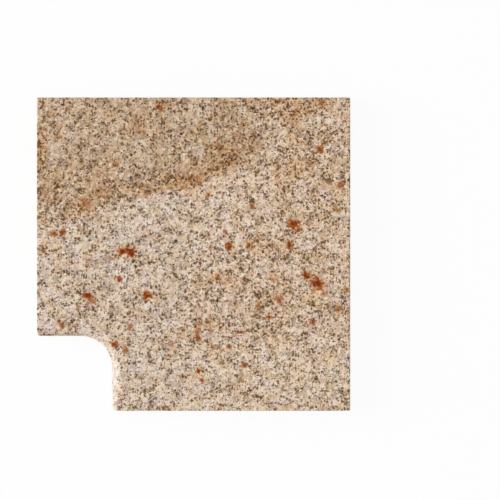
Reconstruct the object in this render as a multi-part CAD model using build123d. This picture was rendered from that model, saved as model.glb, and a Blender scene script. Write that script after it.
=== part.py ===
"""Granite curb corner: one sawn L-shaped slab that carries a curb round an inside corner.

The two walls of the notch, and the arc between them, have a bullnose. Every other edge is sawn
square and lightly eased. Millimetres, +Z up, origin at the centre of the slab's square, on its bed.
"""
from build123d import *

import os

# Driving dimensions
RUN_WIDTH = 305.0  # width of the straight curb that each arm carries on
NOTCH_DEPTH = 95.0  # how far each arm reaches past the notch's wall
NOTCH_RADIUS = 40.0  # plan radius of the inside corner, on the nose's furthest line
THICKNESS = 30.0  # from the bed to the walking face
NOSE_LAND = 1.0  # upright strip left between the nose's upper and lower rounding
EDGE_EASE = 1.5  # rounding stoned onto the sawn edges

# Sizes that follow from them
SIDE = RUN_WIDTH + NOTCH_DEPTH
NOSE_RADIUS = (THICKNESS - NOSE_LAND) / 2
LOW_CORNER = -SIDE / 2  # X and Y of the square's corner that the notch takes away
NOTCH_WALL = LOW_CORNER + NOTCH_DEPTH  # X of the notch's one straight wall, and Y of the other


def slab_outline():
    """The L-shaped plan: a square with the notch taken out of its (-X, -Y) corner."""
    notch = Rectangle(NOTCH_DEPTH, NOTCH_DEPTH, align=(Align.MIN, Align.MIN))
    outline = Rectangle(SIDE, SIDE) - Pos(LOW_CORNER, LOW_CORNER) * notch
    inside_corner = outline.vertices().sort_by_distance((NOTCH_WALL, NOTCH_WALL))[0]
    return fillet(inside_corner, NOTCH_RADIUS)


def by_notch(feature):
    """Whether an edge or a face has its middle in the square's (-X, -Y) quarter, as only the notch's do."""
    middle = feature.center()
    return middle.X < 0 and middle.Y < 0


def nose_edges(slab):
    """The edges of the notch's walls along the bed and along the walking face."""
    return slab.edges().filter_by(Axis.Z, reverse=True).filter_by(by_notch)


def sawn_edges(slab):
    """Every edge of the outer sides and the arm ends, with the nose's outline on the arm ends."""
    upright = slab.faces().filter_by(GeomType.PLANE).filter_by(Plane.XY, reverse=True)
    return ShapeList(set(upright.filter_by(by_notch, reverse=True).edges()))


def curb_corner():
    slab = extrude(slab_outline(), THICKNESS)
    slab = fillet(nose_edges(slab), NOSE_RADIUS)
    return fillet(sawn_edges(slab), EDGE_EASE)


os.makedirs("parts", exist_ok=True)
export_step(curb_corner(), "parts/curb_corner.step")
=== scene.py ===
import math

import bpy
import numpy as np
from mathutils import Color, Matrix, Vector, noise
from mathutils.geometry import delaunay_2d_cdt


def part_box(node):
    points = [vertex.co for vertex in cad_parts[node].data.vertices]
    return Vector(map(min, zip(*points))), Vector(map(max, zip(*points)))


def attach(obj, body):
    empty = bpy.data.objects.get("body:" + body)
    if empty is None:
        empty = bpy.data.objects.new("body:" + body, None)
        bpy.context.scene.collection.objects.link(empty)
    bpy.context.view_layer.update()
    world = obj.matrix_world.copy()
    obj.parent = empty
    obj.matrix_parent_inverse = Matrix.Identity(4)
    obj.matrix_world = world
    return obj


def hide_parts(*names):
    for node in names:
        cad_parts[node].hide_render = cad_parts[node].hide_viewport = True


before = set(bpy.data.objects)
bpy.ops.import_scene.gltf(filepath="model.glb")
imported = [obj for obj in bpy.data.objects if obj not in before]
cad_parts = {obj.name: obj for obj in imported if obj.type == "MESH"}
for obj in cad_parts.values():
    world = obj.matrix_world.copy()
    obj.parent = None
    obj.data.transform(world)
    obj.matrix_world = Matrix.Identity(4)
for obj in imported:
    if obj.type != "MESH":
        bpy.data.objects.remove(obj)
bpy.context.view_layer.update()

# The slab's form in metres, after the solid
MM = 0.001
LOW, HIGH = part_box("curb_corner")
SIDE = HIGH.x - LOW.x
THICKNESS = HIGH.z - LOW.z
NOTCH_DEPTH = 95 * MM
NOTCH_RADIUS = 40 * MM
NOSE_LAND = 1 * MM  # upright strip between the nose's upper and lower rounding
EDGE_EASE = 1.5 * MM  # rounding of the sawn edges along the bed and the walking face
CORNER_EASE = 2 * MM  # rounding of the upright corners, over EDGE_EASE so that none closes to a point
NOSE_RADIUS = (THICKNESS - NOSE_LAND) / 2
NOTCH_WALL = LOW.x + NOTCH_DEPTH
ARC_MIDDLE = NOTCH_WALL - NOTCH_RADIUS

# How finely the slab is meshed
WALL_SPACING = 2 * MM
NOSE_SPACING = 1.5 * MM
FACE_SPACING = 1.7 * MM
BED_SPACING = 6 * MM
CORNER_STEPS = 3
NOSE_STEPS = 15  # levels from the nose's furthest line up to the walking face
ARC_STEPS = round(NOTCH_RADIUS * math.pi / 2 / NOSE_SPACING)
ARM_STEPS = round((SIDE - NOTCH_DEPTH) / WALL_SPACING)
SIDE_STEPS = round(SIDE / WALL_SPACING)
NOSE_RUN_STEPS = round((NOTCH_DEPTH - NOTCH_RADIUS) / NOSE_SPACING)
STRAIGHT_STEPS = (ARM_STEPS, SIDE_STEPS, SIDE_STEPS, ARM_STEPS, NOSE_RUN_STEPS, NOSE_RUN_STEPS)
ONLY_INSIDE = 1  # keeps the triangles that lie inside the outline
SAME_POINT = 1e-7  # points nearer to each other than this are one

# Relief of each finish, always cut into the stone. A RISE is where something starts and where it is full
HONED_FADE = 3 * MM  # to each side of the line where the nose meets the walking face
FLAMED_DEPTH = 0.35 * MM
COARSE_SPALL = 4.5 * MM
FINE_SPALL = 2.4 * MM
COARSE_SHARE = 0.6
SPALL_RISE = (0.2, 0.8)
SAWN_DEPTH = 0.06 * MM
SAWN_WAVE = 12 * MM
CHIP_DEPTH = 0.9 * MM
CHIP_REACH = 3 * MM  # how far from an arris the chips end
CHIP_SIZE = 7 * MM
CHIP_RISE = (0.62, 0.8)

# Rust spots on the walking face: X, Y, length along X and width along Y in millimetres, and strength
RUST_SPOTS = (
    (-91, 4, 13, 11, 0.95), (-80, 2, 12, 14, 0.95), (-86, 5, 14, 8, 0.9), (158, -38, 15, 15, 0.95),
    (144, -28, 10, 10, 0.9), (128, 38, 14, 11, 0.95), (134, 31, 8, 7, 0.7), (-134, -53, 13, 11, 0.95),
    (-128, -60, 8, 7, 0.5), (-59, -53, 10, 11, 0.95), (-167, 28, 8, 8, 0.85), (-178, 26, 11, 7, 0.7),
    (45, 10, 9, 9, 0.9), (71, 10, 7, 7, 0.8), (122, 12, 8, 9, 0.85), (-95, -32, 7, 7, 0.85),
    (-140, 67, 13, 11, 0.4), (-134, 60, 9, 10, 0.25), (19, 76, 7, 7, 0.7), (161, 133, 9, 9, 0.8),
    (-44, 187, 9, 8, 0.8), (109, -58, 11, 11, 0.6), (96, -80, 8, 7, 0.65), (152, -86, 9, 8, 0.75),
    (75, 61, 7, 8, 0.7), (30, -30, 7, 9, 0.65), (-101, -115, 9, 8, 0.85), (-88, -121, 7, 8, 0.5),
    (64, -142, 9, 8, 0.7), (7, -149, 7, 7, 0.8), (11, -161, 7, 6, 0.7), (4, -98, 8, 8, 0.6),
    (5, -107, 8, 6, 0.55), (45, -118, 7, 6, 0.6), (195, -46, 7, 7, 0.55), (-168, -91, 7, 7, 0.7),
    (164, 192, 7, 12, 0.4), (-98, 115, 8, 7, 0.6), (187, 88, 10, 8, 0.65), (8, 91, 8, 9, 0.55),
    (166, -52, 8, 7, 0.6), (184, 57, 9, 8, 0.5), (184, -70, 6, 7, 0.6), (-191, 4, 7, 6, 0.6),
    (61, -100, 12, 4, 0.5), (83, -64, 5, 10, 0.5), (40, 29, 7, 5, 0.55), (101, -33, 6, 6, 0.55),
    (25, -120, 7, 8, 0.4), (-28, -115, 6, 7, 0.5),
)
RUST_THROUGH = 18  # how deep a spot goes into the stone, as the full height of its oval in millimetres

# Lower edge of the iron-stained part of the stone: X, Y and how far it fades to each side in millimetres
STAIN_FRONT = (
    (-200, 45, 60), (-153, 58, 45), (-123, 62, 28), (-81, 71, 10), (-39, 79, 6),
    (4, 91, 6), (21, 105, 6), (46, 113, 8), (87, 125, 20), (200, 133, 30),
)
STAIN_LOSS = 0.6  # share of the stain that is missing at the right
STAIN_LOSS_RISE = (40 * MM, 120 * MM)  # along X

# Patches where the iron is strongest: X, Y, length along X and width along Y in millimetres, and strength
IRON_PATCHES = (
    (38, 125, 34, 36, 0.7), (70, 148, 56, 64, 0.3), (8, 109, 26, 26, 0.5), (-17, 92, 44, 24, 0.7),
    (-43, 101, 28, 18, 0.5), (-56, 82, 50, 16, 0.55), (-113, 80, 24, 54, 0.45), (-138, 63, 34, 30, 0.35),
    (-188, 78, 26, 34, 0.3), (-176, 44, 44, 16, 0.4), (-196, 136, 16, 44, 0.75),
    (113, 183, 60, 44, 0.45), (164, 190, 26, 24, 0.4), (-68, 163, 34, 22, 0.4), (-42, 176, 12, 28, 0.4),
    (138, 120, 40, 60, 0.45), (107, 105, 10, 26, 0.6), (97, 12, 24, 50, 0.2), (180, -70, 18, 34, 0.2),
    (84, -62, 14, 24, 0.45), (110, -35, 150, 120, 0.2),
    (160, 90, 90, 130, 0.25), (65, -30, 110, 50, 0.25), (8, -96, 50, 50, 0.25),
)
PATCH_THROUGH = 120  # how deep a patch goes, in the same way
PATCH_RISE = (0, 0.8)

# Clumps of dark mica: X, Y and width across in millimetres
MICA_CLUMPS = (
    (-134, 164, 12), (-80, 97, 14), (170, 95, 11), (192, 110, 11), (-170, 59, 11), (-151, 82, 11),
)

# Cooler stone at the left, and a painted highlight that pales the part of the nose facing the lamp at the
# left
COOL_RISE = (50 * MM, -60 * MM)  # along X
FACES_LEFT_RISE = (0.2, 0.9)
HIGHLIGHT_FADE = (5 * MM, 12 * MM)  # how far the painted highlight reaches in from the nose's furthest line


def smoothstep(low, high, value):
    share = np.clip((value - low) / (high - low), 0, 1)
    return share * share * (3 - 2 * share)


def arc_points(middle, radii, first, last, steps):
    """Points on an arc between two angles in degrees, with one radius or one along X and one along Y."""
    angles = np.radians(np.linspace(first, last, steps + 1))
    return np.array(middle) + np.column_stack((np.cos(angles), np.sin(angles))) * radii


def outline(nose_inset, sawn_inset):
    """One level's outline, anticlockwise from above, with the notch's walls and the sawn walls set in."""
    ease = CORNER_EASE
    near, far = LOW.x + ease, HIGH.x - ease
    nose = NOTCH_WALL + nose_inset + ease
    round_off = ease - sawn_inset
    corners = (
        arc_points((nose, near), (ease, round_off), 180, 270, CORNER_STEPS),
        arc_points((far, near), round_off, 270, 360, CORNER_STEPS),
        arc_points((far, far), round_off, 0, 90, CORNER_STEPS),
        arc_points((near, far), round_off, 90, 180, CORNER_STEPS),
        arc_points((near, nose), (round_off, ease), 180, 270, CORNER_STEPS),
        arc_points((ARC_MIDDLE, ARC_MIDDLE), NOTCH_RADIUS + nose_inset, 90, 0, ARC_STEPS),
    )
    points = []
    for corner, following, steps in zip(corners, corners[1:] + corners[:1], STRAIGHT_STEPS):
        shares = np.arange(1, steps)[:, None] / steps
        points += [corner, corner[-1] + (following[0] - corner[-1]) * shares]
    return np.concatenate(points)


def levels():
    """Height, nose inset and sawn inset of each outline, from the bed to the walking face."""
    angles = np.radians(np.linspace(0, 90, NOSE_STEPS + 1))
    rise = NOSE_LAND / 2 + NOSE_RADIUS * np.sin(angles)
    nose_inset = NOSE_RADIUS * (1 - np.cos(angles))
    over = np.clip(rise - (THICKNESS / 2 - EDGE_EASE), 0, EDGE_EASE)
    sawn_inset = EDGE_EASE - np.sqrt(EDGE_EASE**2 - over**2)
    middle = LOW.z + THICKNESS / 2
    upper = np.column_stack((middle + rise, nose_inset, sawn_inset))
    lower = np.column_stack((middle - rise, nose_inset, sawn_inset))
    return np.concatenate((lower[::-1], upper))


def past_arc_middle(x, y):
    """How far a point lies past the middle of the notch's arc, along X and along Y."""
    return np.maximum(x - ARC_MIDDLE, 0), np.maximum(y - ARC_MIDDLE, 0)


def from_notch(x, y):
    """How far a point lies from the nose's furthest line."""
    return np.hypot(*past_arc_middle(x, y)) - NOTCH_RADIUS


def from_sides(x, y):
    """How far a point lies from the nearest sawn wall."""
    return np.minimum(np.minimum(x, y) - LOW.x, HIGH.x - np.maximum(x, y))


def fill(ring, spacing):
    """Points inside a level's outline, and triangles over the outline's points and then those."""
    line = np.linspace(LOW.x, HIGH.x, int(SIDE / spacing))
    x, y = np.meshgrid(line, line)
    half_step = spacing / 2
    x[1::2] += half_step
    inside = from_notch(x, y) > NOSE_RADIUS + half_step
    inside &= from_sides(x, y) > EDGE_EASE + half_step
    inner = np.column_stack((x[inside], y[inside]))
    points = [Vector(point) for point in np.concatenate((ring, inner))]
    rim = list(range(len(ring)))
    edges = list(zip(rim, rim[1:] + rim[:1]))
    triangles, sources = delaunay_2d_cdt(points, edges, [], ONLY_INSIDE, SAME_POINT)[2:4]
    return inner, [[sources[corner][0] for corner in triangle] for triangle in triangles]


def slab_mesh():
    """The closed slab: walls lofted through the levels, then the walking face and the bed."""
    layers = [(z, outline(nose_inset, sawn_inset)) for z, nose_inset, sawn_inset in levels()]
    count = len(layers[0][1])
    total = count * len(layers)
    points = [np.column_stack((ring, np.full(count, z))) for z, ring in layers]
    faces = []
    for below in range(0, total - count, count):
        for i in range(count):
            after = (i + 1) % count
            faces.append((below + i, below + after, below + count + after, below + count + i))
    walking_face = (layers[-1], total - count, FACE_SPACING, 1)
    bed = (layers[0], 0, BED_SPACING, -1)
    for (z, ring), first, spacing, winding in (walking_face, bed):
        inner, triangles = fill(ring, spacing)
        place = np.concatenate((np.arange(first, first + count), np.arange(total, total + len(inner))))
        faces += [place[triangle[::winding]].tolist() for triangle in triangles]
        points.append(np.column_stack((inner, np.full(len(inner), z))))
        total += len(inner)
    mesh = bpy.data.meshes.new("curb_slab")
    mesh.from_pydata(np.concatenate(points).tolist(), [], faces)
    mesh.shade_smooth()
    return mesh


def read(mesh, name):
    """One vector for each of the mesh's points, such as its place or its normal."""
    values = np.empty(len(mesh.vertices) * 3)
    mesh.vertices.foreach_get(name, values)
    return values.reshape(-1, 3)


def mottle(places, size, seed):
    """Smooth noise from 0 to 1 at each place, with bumps about size across."""
    shift = Vector((seed, 2 * seed, 3 * seed))
    return np.array([0.5 + noise.noise(Vector(place) / size + shift) / 2 for place in places])


def finishes(places):
    """How far each place is flamed or honed. What is neither is sawn."""
    x, y, z = places.T
    honed = 1 - smoothstep(NOSE_RADIUS - HONED_FADE, NOSE_RADIUS + HONED_FADE, from_notch(x, y))
    flamed = smoothstep(HIGH.z - EDGE_EASE / 2, HIGH.z, z) * (1 - honed)
    return flamed, honed


def weather(mesh):
    """Cuts the flamed relief, the sawn unevenness and the chipped arrises into the mesh."""
    places, normals = read(mesh, "co"), read(mesh, "normal")
    x, y, z = places.T
    flamed, honed = finishes(places)
    coarse = mottle(places, COARSE_SPALL, seed=1)
    fine = mottle(places, FINE_SPALL, seed=2)
    spalls = COARSE_SHARE * coarse + (1 - COARSE_SHARE) * fine
    depth = flamed * FLAMED_DEPTH * smoothstep(*SPALL_RISE, spalls)
    depth += (1 - flamed - honed) * SAWN_DEPTH * mottle(places, SAWN_WAVE, seed=3)
    from_arris = np.hypot(from_sides(x, y), np.minimum(z - LOW.z, HIGH.z - z))
    chips = smoothstep(*CHIP_RISE, mottle(places, CHIP_SIZE, seed=4))
    depth += (1 - honed) * CHIP_DEPTH * chips * smoothstep(CHIP_REACH, 0, from_arris)
    mesh.vertices.foreach_set("co", (places - normals * depth[:, None]).ravel())
    mesh.update()


def blob(places, x, y, size):
    """1 in the middle of an oval on the walking face, 0.5 on its rim and 0 one more radius out.

    The middle's x and y, and the size along X, Y and Z, are in millimetres.
    """
    middle = np.array((x * MM, y * MM, HIGH.z))
    away = (places - middle) / (np.array(size) * MM / 2)
    return np.clip(1 - np.linalg.norm(away, axis=1) / 2, 0, 1)


def paint(mesh):
    """Keeps the amounts that the stone's nodes read at each of the mesh's points."""
    places = read(mesh, "co")
    x, y = places.T[:2]
    flamed, honed = finishes(places)
    rust, rust_depth, iron, mica = np.zeros((4, len(places)))
    for spot_x, spot_y, length, width, strength in RUST_SPOTS:
        spot = blob(places, spot_x, spot_y, (length, width, RUST_THROUGH))
        rust_depth = np.where(spot > rust, strength, rust_depth)
        rust = np.maximum(rust, spot)
    for patch_x, patch_y, length, width, strength in IRON_PATCHES:
        patch = blob(places, patch_x, patch_y, (length, width, PATCH_THROUGH))
        iron = np.maximum(iron, strength * smoothstep(*PATCH_RISE, patch))
    for clump_x, clump_y, across in MICA_CLUMPS:
        mica = np.maximum(mica, blob(places, clump_x, clump_y, (across, across, across)))
    front_x, front_y, fade = np.array(STAIN_FRONT).T * MM
    above = (y - np.interp(x, front_x, front_y)) / np.interp(x, front_x, fade)
    stain = smoothstep(-1, 1, above) * (1 - STAIN_LOSS * smoothstep(*STAIN_LOSS_RISE, x))
    cool = smoothstep(*COOL_RISE, x) * (1 - stain)
    past_x, past_y = past_arc_middle(x, y)
    past_both = past_x + past_y + MM  # never 0
    faces_left = smoothstep(*FACES_LEFT_RISE, past_x / past_both)
    # painted highlight: the part of the nose that faces the lamp is paled and its flecks and tints washed
    # out
    painted_highlight = faces_left * (1 - smoothstep(*HIGHLIGHT_FADE, from_notch(x, y)))
    amounts = {"flamed": flamed, "honed": honed, "rust": rust, "rust_depth": rust_depth, "stain": stain}
    amounts |= {"iron": iron, "cool": cool, "mica": mica, "painted_highlight": painted_highlight}
    for name, amount in amounts.items():
        mesh.attributes.new(name, "FLOAT", "POINT").data.foreach_set("value", amount.astype(np.float32))


class Nodes:
    """A material's or the world's node tree, with one way to add a node."""

    def __init__(self, owner):
        owner.use_nodes = True
        self.tree = owner.node_tree
        self.tree.nodes.clear()

    def add(self, kind, settings, sockets, output=None):
        """A node of a kind, set up and then fed with values or links.

        Gives the output that is named, or else the first. The tree's last node has none.
        """
        node = self.tree.nodes.new("ShaderNode" + kind)
        for name, setting in settings.items():
            setattr(node, name, setting)
        inputs = {socket.identifier: socket for socket in node.inputs}
        for name, value in sockets.items():
            if isinstance(value, Value):
                self.tree.links.new(value.socket, inputs[name])
            else:
                inputs[name].default_value = value
        if not node.outputs:
            return None
        outputs = {socket.identifier: socket for socket in node.outputs}
        return Value(self, outputs[output] if output else node.outputs[0])


class Value:
    """A node's output that Python's operators can work on."""

    def __init__(self, nodes, socket):
        self.nodes = nodes
        self.socket = socket

    def out(self, name):
        """Another output of the same node."""
        return Value(self.nodes, self.socket.node.outputs[name])

    def math(self, operation, first, second):
        return self.nodes.add("Math", {"operation": operation}, {"Value": first, "Value_001": second})

    def __add__(self, other):
        return self.math("ADD", self, other)

    def __sub__(self, other):
        return self.math("SUBTRACT", self, other)

    def __rsub__(self, other):
        return self.math("SUBTRACT", other, self)

    def __mul__(self, other):
        return self.math("MULTIPLY", self, other)

    __radd__ = __add__
    __rmul__ = __mul__

    def most(self, other):
        return self.math("MAXIMUM", self, other)

    def sway(self, amount):
        """How far noise from 0 to 1 is above or below its middle, times an amount."""
        return (self - 0.5) * amount

    def step(self, low, high):
        """0 below low, 1 above high and a smooth rise between."""
        sockets = {"Value": self, "From Min": low, "From Max": high}
        return self.nodes.add("MapRange", {"interpolation_type": "SMOOTHSTEP"}, sockets, "Result")


def shade(red, green, blue):
    """A screen colour, 0 to 255, as the light it stands for."""
    screen = Color((red / 255, green / 255, blue / 255))
    return [*screen.from_srgb_to_scene_linear(), 1]


# Colours of the stone. A TINT is multiplied with what lies under it
CREAM_FELDSPAR = shade(246, 230, 217)
PINK_FELDSPAR = shade(233, 208, 192)
# paler, greyer feldspar painted as the highlight on the nose side that faces the lamp
HIGHLIGHT_FELDSPAR = shade(228, 219, 207)
QUARTZ = shade(206, 189, 174)
SPECK_TINT = shade(246, 244, 242)
BLACK_MICA = shade(72, 48, 24)
BROWN_MICA = shade(116, 79, 50)
OLIVE_MICA = shade(120, 97, 57)
GREY_MICA = shade(88, 80, 70)
OCHRE = shade(176, 118, 54)
HAZE_TINT = shade(255, 252, 233)
STAIN_TINT = shade(250, 245, 237)
DULL_TINT = shade(222, 220, 217)
COOL_TINT = shade(249, 251, 255)
IRON_TINT = shade(236, 201, 154)
RUST_TINT = shade(238, 190, 132)
PALE_RUST = shade(180, 104, 22)
RUST = shade(160, 76, 8)
RUST_CORE = shade(102, 38, 0)

# Noise in the stone: width of its bumps, and how many finer layers it has
DRIFT = (2.6 * MM, 3)  # pushes crystals and flecks out of shape
FRAY = (6 * MM, 3)  # makes the stain, the iron and the rust's colour uneven
GRAIN = (2.2 * MM, 3)  # makes the stain, the iron, the flecks and the rust's core ragged
WARMTH = (24 * MM, 2)  # slow change of the iron
CLOUD = (11 * MM, 2)  # where pink crystals and quartz gather
SPECKS = (1.2 * MM, 3)  # finer shades within a crystal
CLUMPS = (9 * MM, 2)  # where mica gathers
HAZE = (16 * MM, 4)  # yellowish haze
RUST_EDGE = (3.6 * MM, 3)  # ragged rims of the rust spots
GRIT = (0.9 * MM, 2)  # roughness and fine bumps of the surface

# Crystals. A SHARE is how far something covers what lies under it
CRYSTAL = 3.4 * MM
DRIFT_REACH = 4.5 * MM  # how far crystals and flecks are pushed out of shape
PINK_RISE = (0.7, 1.4)
QUARTZ_RISE = (0.95, 1.05)
QUARTZ_BY_CLOUD = 0.5
QUARTZ_SHARE = 0.9
# how far the painted highlight pales the feldspar on the nose side facing the lamp
HIGHLIGHT_SHARE = 0.6
SPECK_RISE = (0.35, 0.65)

# Flecks: width of the cells they lie in, then the least radius and what the widest adds, as shares of that
MICA_FLECKS = ((6.5 * MM, -0.09, 0.4), (3.7 * MM, 0.04, 0.47), (2.1 * MM, -0.04, 0.54))
FRECKLES = (13 * MM, -0.03, 0.3)
FLECK_RISE = (-0.06, 0.1)

# Mica, in loose clumps. A BY is how much one thing adds to another
CLUMP_BY_DENSE = 0.16
FLECK_BY_CLUMP = 0.52
FLECK_BY_GRAIN = 0.6
FLECK_BY_IRON = 0.1
FLECK_SHARE = (0.84, 0.16)  # of the palest, and what the darkest adds
BROWN_RISE = (0.1, 0.6)
BROWN_BY_IRON = 0.4
BROWN_BY_STAIN = 0.12
OLIVE_RISE = (0.75, 0.85)
SEAM = 4 * MM  # width of the cells that the olive seams run between
SEAM_CLUMP = 0.49  # how dense a clump is where seams open
SEAM_BY_CLUMP = 0.8
SEAM_RISE = (-0.02, 0.06)
SEAM_SHARE = 0.55
MICA_LOSS = 0.45  # share of the flecks that the painted highlight washes out

# Iron stain and freckles
STAIN_RISE = (0.2, 0.8)
STAIN_BY_FRAY = 1.1
STAIN_BY_GRAIN = 0.9
IRON_RISE = (-0.35, 1.25)
IRON_BY_FRAY = 0.4  # where there is no stain, and more where there is
IRON_BY_WARMTH = 1.4
IRON_BY_CRYSTAL = 0.3
IRON_BY_GRAIN = 1
HAZE_RISE = (0.32, 0.68)
FRECKLE_BY_STAIN = 0.05
FRECKLE_BY_GRAIN = 0.6
FRECKLE_SHARE = (0.2, 0.6)  # of the palest, and what the darkest adds
TINT_LOSS = 0.7  # share of the tints that the painted highlight washes out

# Rust spots, from the warm halo to the dark core
RUST_BY_EDGE = 1.3
HALO_RISE = (0.1, 0.6)
HALO_SHARE = 0.5
SPOT_RISE = (0.38, 0.63)
DEEP_RUST_RISE = (1.1, 1.8)
DEEP_RUST_BY_FRAY = 0.8
CORE_RISE = (0.58, 0.9)
CORE_BY_GRAIN = 0.8
CORE_SHARE = 0.9

# Surface of each finish
SAWN_ROUGHNESS = 0.62
FLAMED_ROUGHER = 0.16
HONED_SMOOTHER = 0.2
ROUGHNESS_BY_GRIT = 0.2
GLOSS_LEVEL = 0.2
SAW_MARK = {"Scale": 1 / (6 * MM), "Distortion": 3, "Detail": 2, "Detail Scale": 0.5}
SAW_MARK_HEIGHT = 0.6
GRIT_HEIGHT = (0.25, 0.75)  # of sawn stone, and what flaming adds
GRIT_LOSS = 0.9  # share that honing takes away
BUMP_HEIGHT = 0.25 * MM
BUMP_STRENGTH = 0.5


class Stone(Nodes):
    """The granite's node tree: what its looks share, and one method for each of them."""

    def __init__(self, material):
        super().__init__(material)
        self.place = self.add("TexCoord", {}, {}, "Object")
        pushed = {
            "Vector": self.noise(DRIFT, "Color"),
            "Vector_001": [DRIFT_REACH] * 3,
            "Vector_002": self.place,
        }
        self.warped = self.add("VectorMath", {"operation": "MULTIPLY_ADD"}, pushed)
        self.flamed = self.attribute("flamed")
        self.honed = self.attribute("honed")
        self.painted_highlight = self.attribute("painted_highlight")
        self.fray = self.noise(FRAY)
        self.grain = self.noise(GRAIN)
        self.crystal = self.own_values(self.cells(CRYSTAL, "F1"))
        front = self.attribute("stain") + self.fray.sway(STAIN_BY_FRAY) + self.grain.sway(STAIN_BY_GRAIN)
        self.stain = front.step(*STAIN_RISE)
        self.patch = self.attribute("iron")
        warmth = self.noise(WARMTH)
        self.iron = self.patch + self.fray.sway(IRON_BY_FRAY + self.stain) + warmth.sway(IRON_BY_WARMTH)

    def attribute(self, name):
        return self.add("Attribute", {"attribute_name": name}, {}, "Fac")

    def noise(self, kind, output="Fac"):
        size, layers = kind
        return self.add("TexNoise", {}, {"Vector": self.place, "Scale": 1 / size, "Detail": layers}, output)

    def cells(self, size, feature):
        """Irregular cells about size across. Gives the distance from their middles or from their edges."""
        sockets = {"Vector": self.warped, "Scale": 1 / size}
        return self.add("TexVoronoi", {"feature": feature}, sockets, "Distance")

    def own_values(self, cells):
        """Three values from 0 to 1 that are each cell's own: Red, and by name Green and Blue."""
        return self.add("SeparateColor", {}, {"Color": cells.out("Color")}, "Red")

    def flecks(self, size, least, spread):
        """Dots in cells about size across: where they are, and each one's own values."""
        cells = self.cells(size, "F1")
        own = self.own_values(cells)
        return (own * spread + least - cells).step(*FLECK_RISE), own

    def mix(self, share, under, over, blend="MIX"):
        sockets = {"Factor_Float": share, "A_Color": under, "B_Color": over}
        return self.add("Mix", {"data_type": "RGBA", "blend_type": blend}, sockets, "Result_Color")

    def tint(self, share, under, over):
        return self.mix(share, under, over, "MULTIPLY")

    def crystals(self):
        """Feldspar and quartz, each crystal with its own shade, paled by a painted highlight on the nose
        side facing the lamp, and finer specks in them.
        """
        cloud = self.noise(CLOUD)
        rock = self.mix((self.crystal.out("Green") + cloud).step(*PINK_RISE), CREAM_FELDSPAR, PINK_FELDSPAR)
        quartz = (self.crystal + QUARTZ_BY_CLOUD * cloud).step(*QUARTZ_RISE)
        rock = self.mix(quartz * QUARTZ_SHARE, rock, QUARTZ)
        # painted highlight: paler feldspar on the nose side that faces the lamp
        rock = self.mix(HIGHLIGHT_SHARE * self.painted_highlight, rock, HIGHLIGHT_FELDSPAR)
        return self.tint(self.noise(SPECKS).step(*SPECK_RISE), rock, SPECK_TINT)

    def mica(self, rock):
        """Olive seams between crystals, and flecks of three sizes."""
        dense = self.attribute("mica")
        clump = self.noise(CLUMPS) + CLUMP_BY_DENSE * dense
        # painted highlight washes the mica out on the nose side that faces the lamp
        shown = 1 - MICA_LOSS * self.painted_highlight
        seam = (clump - SEAM_CLUMP) * SEAM_BY_CLUMP - self.cells(SEAM, "DISTANCE_TO_EDGE")
        rock = self.mix(seam.step(*SEAM_RISE) * shown * SEAM_SHARE, rock, OLIVE_MICA)
        palest, added = FLECK_SHARE
        for size, least, spread in MICA_FLECKS:
            reach = least + clump.sway(FLECK_BY_CLUMP) + self.grain.sway(FLECK_BY_GRAIN)
            fleck, own = self.flecks(size, reach + FLECK_BY_IRON * self.patch, spread)
            hue = own.out("Blue")
            brown = (hue + BROWN_BY_IRON * self.iron + BROWN_BY_STAIN * self.stain).step(*BROWN_RISE)
            colour = self.mix(brown, BLACK_MICA, BROWN_MICA)
            colour = self.mix(hue.step(*OLIVE_RISE), colour, OLIVE_MICA)
            colour = self.mix(dense, colour, GREY_MICA)
            rock = self.mix(fleck * (palest + added * own.out("Green")) * shown, rock, colour)
        return rock

    def stains(self, rock):
        """Ochre freckles, a light haze, the iron stain, the cooler stone and the richest iron."""
        size, least, spread = FRECKLES
        reach = FRECKLE_BY_STAIN * self.stain + least + self.grain.sway(FRECKLE_BY_GRAIN)
        freckle, own = self.flecks(size, reach, spread)
        palest, added = FRECKLE_SHARE
        rock = self.mix(freckle * (palest + added * own.out("Green")), rock, OCHRE)
        # painted highlight washes the tints out on the nose side that faces the lamp
        shown = 1 - TINT_LOSS * self.painted_highlight
        rock = self.tint(self.noise(HAZE).step(*HAZE_RISE) * shown, rock, HAZE_TINT)
        rock = self.tint(self.stain * shown, rock, STAIN_TINT)
        rock = self.tint(self.stain * shown * self.crystal.out("Blue"), rock, DULL_TINT)
        rock = self.tint(self.attribute("cool"), rock, COOL_TINT)
        iron = self.iron + self.crystal.out("Green").sway(IRON_BY_CRYSTAL) + self.grain.sway(IRON_BY_GRAIN)
        return self.tint(iron.step(*IRON_RISE) * shown, rock, IRON_TINT)

    def rust(self, rock):
        """Rust spots with a ragged rim, a warm halo round them and a dark core."""
        depth = self.attribute("rust_depth")
        spot = self.attribute("rust") + self.noise(RUST_EDGE).sway(RUST_BY_EDGE)
        rock = self.tint(spot.step(*HALO_RISE) * depth * HALO_SHARE, rock, RUST_TINT)
        deep = (depth + spot + self.fray.sway(DEEP_RUST_BY_FRAY)).step(*DEEP_RUST_RISE)
        rock = self.mix(spot.step(*SPOT_RISE) * depth, rock, self.mix(deep, PALE_RUST, RUST))
        core = (spot + self.grain.sway(CORE_BY_GRAIN)).step(*CORE_RISE)
        return self.mix(core * depth * CORE_SHARE, rock, RUST_CORE)

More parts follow.
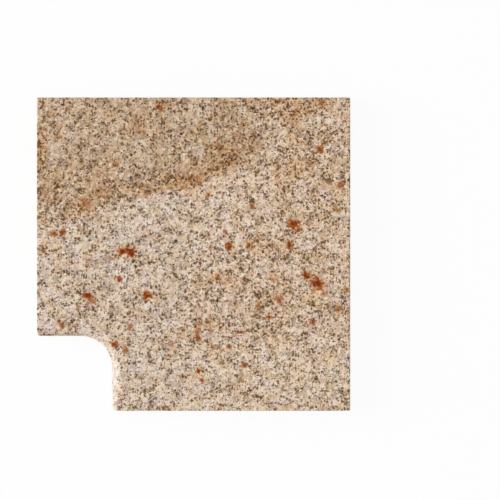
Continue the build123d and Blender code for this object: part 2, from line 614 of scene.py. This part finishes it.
    def surface(self, rock):
        """The shader: grit that flaming deepens and honing takes away, and saw marks elsewhere."""
        grit = self.noise(GRIT)
        roughness = SAWN_ROUGHNESS + FLAMED_ROUGHER * self.flamed - HONED_SMOOTHER * self.honed
        roughness = roughness + grit.sway(ROUGHNESS_BY_GRIT)
        least, added = GRIT_HEIGHT
        height = grit * (least + added * self.flamed) * (1 - GRIT_LOSS * self.honed)
        saw_marks = self.add("TexWave", {"bands_direction": "Z"}, {"Vector": self.place, **SAW_MARK}, "Fac")
        sawn = 1 - self.flamed.most(self.honed)
        height = height + saw_marks * sawn * SAW_MARK_HEIGHT
        bump = self.add("Bump", {}, {"Strength": BUMP_STRENGTH, "Distance": BUMP_HEIGHT, "Height": height})
        sockets = {
            "Base Color": rock,
            "Roughness": roughness,
            "Specular IOR Level": GLOSS_LEVEL,
            "Normal": bump,
        }
        return self.add("BsdfPrincipled", {}, sockets)


def granite():
    material = bpy.data.materials.new("speckled_granite")
    stone = Stone(material)
    rock = stone.crystals()
    rock = stone.mica(rock)
    rock = stone.stains(rock)
    rock = stone.rust(rock)
    stone.add("OutputMaterial", {}, {"Surface": stone.surface(rock)})
    return material


def granite_slab():
    mesh = slab_mesh()
    weather(mesh)
    paint(mesh)
    mesh.materials.append(granite())
    slab = bpy.data.objects.new("granite_slab", mesh)
    bpy.context.collection.objects.link(slab)
    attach(slab, "root")
    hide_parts("curb_corner")


# The stage: a white floor, one soft lamp from the left and even light all round
FLOOR_REACH = 6.0
FLOOR_WHITE = [0.92, 0.92, 0.92, 1]
FLOOR_GLOW = 0.93  # share of pure white in the floor that the camera sees
SKY_LEVEL = 0.75
LAMP_LEVEL = 0.84  # what the lamp adds to a white face turned to it
LAMP_DISTANCE = 6.0
LAMP_SIZE = 3.2
LAMP_ELEVATION = 25
LAMP_AZIMUTH = 174  # anticlockwise from +X


def seen_directly(nodes):
    """1 for what the camera sees, straight or in a shiny face, and 0 for light on its way to a surface."""
    straight = nodes.add("LightPath", {}, {}, "Is Camera Ray")
    return straight.most(straight.out("Is Glossy Ray")).most(straight.out("Is Transmission Ray"))


def white_floor():
    mesh = bpy.data.meshes.new("floor")
    square = ((-1, -1), (1, -1), (1, 1), (-1, 1))
    mesh.from_pydata([(x * FLOOR_REACH, y * FLOOR_REACH, LOW.z) for x, y in square], [], [(0, 1, 2, 3)])
    material = bpy.data.materials.new("white_floor")
    nodes = Nodes(material)
    paper = nodes.add("BsdfDiffuse", {}, {"Color": FLOOR_WHITE})
    glow = nodes.add("Emission", {}, {"Strength": 1})
    share = seen_directly(nodes) * FLOOR_GLOW
    both = nodes.add("MixShader", {}, {"Fac": share, "Shader": paper, "Shader_001": glow})
    nodes.add("OutputMaterial", {}, {"Surface": both})
    mesh.materials.append(material)
    floor = bpy.data.objects.new("floor", mesh)
    bpy.context.collection.objects.link(floor)


def soft_light():
    world = bpy.data.worlds.new("even_light")
    bpy.context.scene.world = world
    nodes = Nodes(world)
    level = SKY_LEVEL + seen_directly(nodes) * (1 - SKY_LEVEL)
    sky = nodes.add("Background", {}, {"Strength": level})
    nodes.add("OutputWorld", {}, {"Surface": sky})
    lamp = bpy.data.lights.new("softbox", "AREA")
    lamp.size = LAMP_SIZE
    lamp.energy = LAMP_LEVEL * (math.pi * LAMP_DISTANCE) ** 2
    softbox = bpy.data.objects.new("softbox", lamp)
    turn, rise = math.radians(LAMP_AZIMUTH), math.radians(LAMP_ELEVATION)
    towards = Vector((math.cos(turn) * math.cos(rise), math.sin(turn) * math.cos(rise), math.sin(rise)))
    softbox.location = towards * LAMP_DISTANCE
    softbox.rotation_euler = towards.to_track_quat("Z", "Y").to_euler()
    bpy.context.collection.objects.link(softbox)


# The camera looks straight down beside the slab's middle, so that the slab lies left in the picture
CAMERA_HEIGHT = 2.4  # above the walking face
CAMERA_X = 72 * MM
CAMERA_Y = 5.3 * MM
PICTURE_PIXELS = 500
SLAB_PIXELS = 313.6  # how wide the walking face is in the picture
PICTURE_SCALE = SLAB_PIXELS / PICTURE_PIXELS


def camera():
    data = bpy.data.cameras.new("camera")
    data.lens = data.sensor_width * PICTURE_SCALE * CAMERA_HEIGHT / SIDE
    eye = bpy.data.objects.new("camera", data)
    eye.location = (CAMERA_X, CAMERA_Y, HIGH.z + CAMERA_HEIGHT)
    bpy.context.collection.objects.link(eye)
    bpy.context.scene.camera = eye


granite_slab()
white_floor()
soft_light()
camera()
bpy.context.scene.view_settings.view_transform = "Standard"
